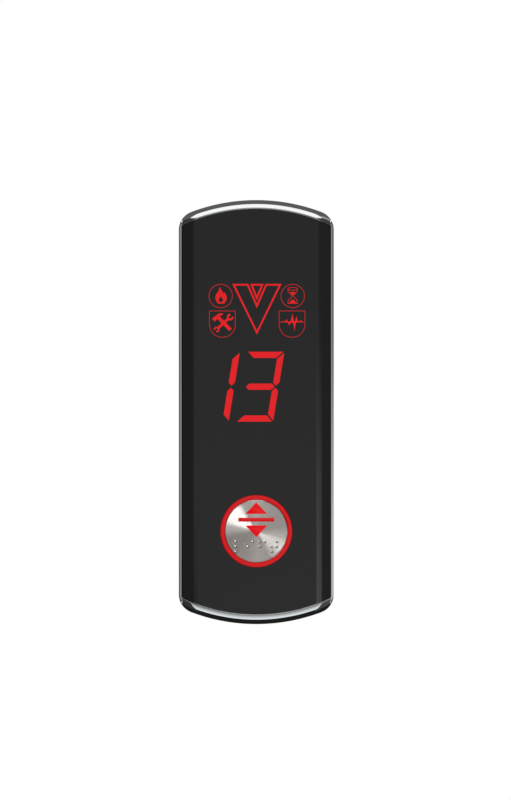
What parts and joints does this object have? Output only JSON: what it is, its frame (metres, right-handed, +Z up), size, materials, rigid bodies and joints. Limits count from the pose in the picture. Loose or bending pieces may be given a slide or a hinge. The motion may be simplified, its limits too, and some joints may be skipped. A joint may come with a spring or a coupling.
{
  "type": "elevator call button panel",
  "caption": "Wall-mounted lift landing panel with bowed chrome ends, a dark bent lens with a red floor display and lit signs, and a sprung round push button.",
  "frame": {"origin": "middle of the panel's wall face", "axes": "+X to the right of a person facing the panel, +Y into the wall, +Z up"},
  "size_m": [0.0776, 0.0231, 0.212],
  "materials": {
    "chrome": "mirror-bright chrome plating",
    "brushed_steel": "stainless steel with a spun grain",
    "zinc_steel": "zinc-plated sheet, satin",
    "screw_steel": "bright steel",
    "spring_steel": "drawn wire, bright",
    "smoked_acrylic": "near-black polished acrylic",
    "lit_red": "clear red, lit from behind",
    "dark_red": "dark red, unlit",
    "black_plastic": "moulded, satin",
    "grey_plastic": "moulded, matte",
    "white_plastic": "moulded, matte",
    "ivory_plastic": "moulded nylon",
    "led_white": "small lamp bodies",
    "black_rubber": "soft, matte",
    "board_green": "lacquered circuit board",
    "contact_brass": "bright contacts"
  },
  "bodies": {
    "panel": {"wall_plate": "zinc_steel", "cable_bushing": "black_rubber", "lock_screw": "screw_steel", "chrome_frame": "chrome", "lens_gasket": "black_rubber", "front_lens": "smoked_acrylic", "main_board": "board_green", "board_screws": "screw_steel", "digit_reflector": "grey_plastic", "digit_segments_lit": "lit_red", "digit_segments_dark": "dark_red", "digit_leds": "led_white", "icon_light_box": "white_plastic", "icon_film": "dark_red", "icon_leds": "led_white", "buzzer": "black_plastic", "control_chip": "black_plastic", "wire_header": "ivory_plastic", "header_pins": "contact_brass", "button_housing": "black_plastic", "housing_screws": "screw_steel", "button_gasket": "black_rubber", "halo_ring": "lit_red", "halo_leds": "led_white", "return_spring": "spring_steel", "switch_body": "black_plastic", "switch_terminals": "contact_brass"},
    "button": {"button_plate": "brushed_steel", "symbol_diffuser": "lit_red", "button_plunger": "white_plastic"},
    "switch_stem": {"switch_plunger": "white_plastic"}
  },
  "joints": [
    {"name": "button_press", "type": "slide", "parent": "panel", "child": "button", "axis": [0, 1, 0], "range_m": [0, 0.0012], "stiffness_N_per_m": 800, "springref_m": -0.0015, "deforming": ["return_spring"]},
    {"name": "switch_press", "type": "slide", "parent": "panel", "child": "switch_stem", "axis": [0, 1, 0], "range_m": [0, 0.0012]}
  ],
  "couplings": [
    {"joint": "switch_press", "follows": "button_press", "ratio": 1}
  ]
}
